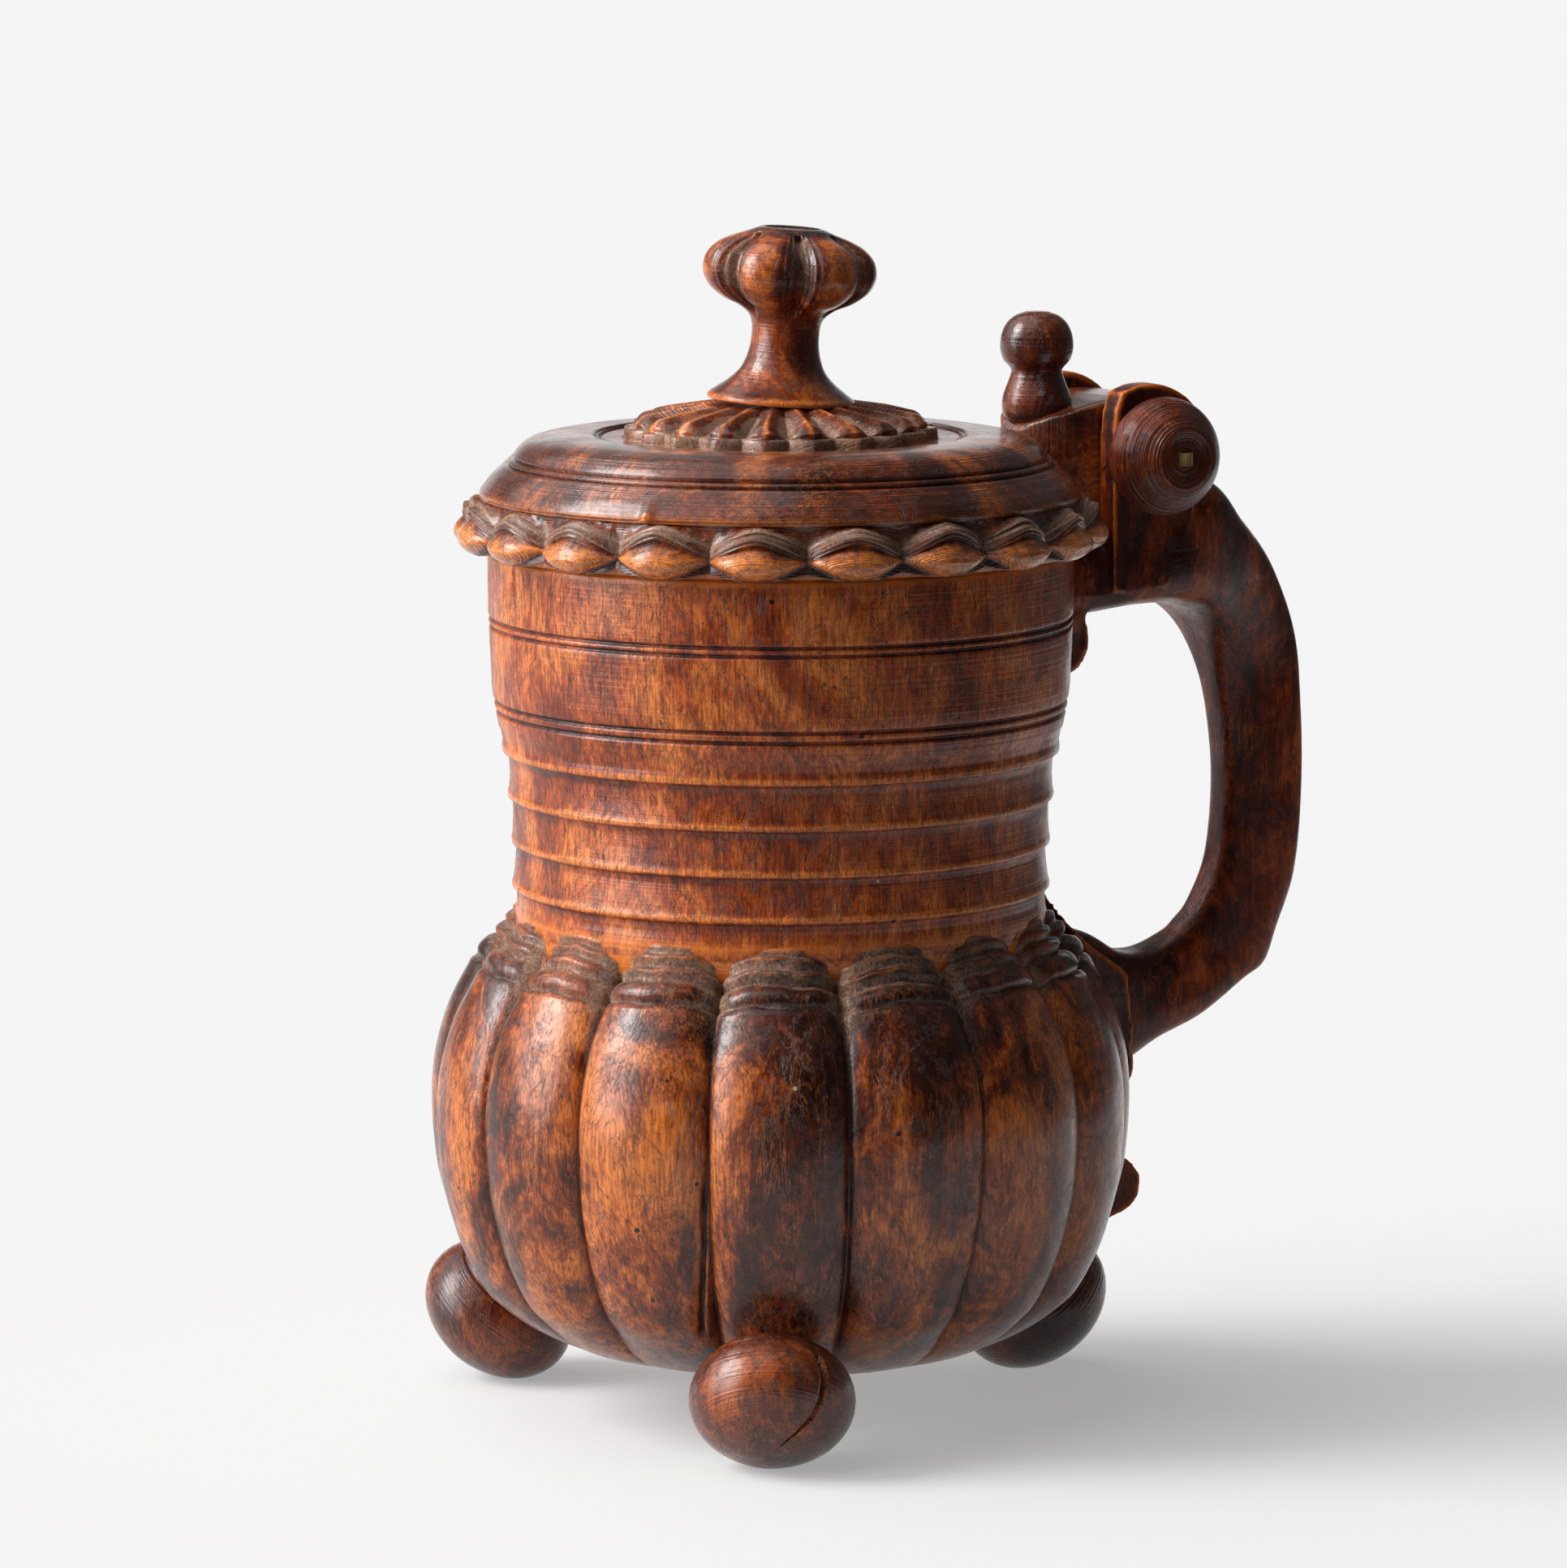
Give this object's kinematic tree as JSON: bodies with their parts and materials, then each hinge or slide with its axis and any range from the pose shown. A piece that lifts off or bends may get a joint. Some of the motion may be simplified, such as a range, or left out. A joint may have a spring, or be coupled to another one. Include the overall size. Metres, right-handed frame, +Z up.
{
  "type": "lidded tankard",
  "caption": "Turned and carved wooden tankard with a lobed belly, ringed neck, ball feet, a hinged domed lid with beads, rosette and finial, and a carved handle.",
  "frame": {"origin": "middle of the whole tankard in plan, on the surface that it stands on", "axes": "+Z up; +X from the vessel towards the handle; +Y along the hinge pin"},
  "size_m": [0.1908, 0.139, 0.2343],
  "materials": {
    "vessel_wood": "old wax over burr birch, satin, stained and worn",
    "handle_wood": "old wax over dark stained wood, satin, worn bright on the edges",
    "lid_wood": "old wax over turned and carved wood, satin, dusty in the recesses",
    "turned_wood": "old wax over turned wood, satin",
    "pale_wood": "bare pale wood, matt"
  },
  "bodies": {
    "tankard_body": {"vessel": "vessel_wood", "ball_foot_1": "turned_wood", "ball_foot_2": "turned_wood", "ball_foot_3": "turned_wood", "handle": "handle_wood", "handle_peg_1": "turned_wood", "handle_peg_2": "turned_wood", "handle_peg_3": "turned_wood", "hinge_pin": "turned_wood", "hinge_knob": "turned_wood", "knob_peg": "pale_wood"},
    "lid_body": {"lid": "lid_wood", "finial": "turned_wood", "thumbpiece": "turned_wood"}
  },
  "joints": [
    {"name": "lid_hinge", "type": "hinge", "parent": "tankard_body", "child": "lid_body", "pos_m": [0.04735, 0, 0.1875], "axis": [0, 1, 0], "range_deg": [0, 100]}
  ]
}
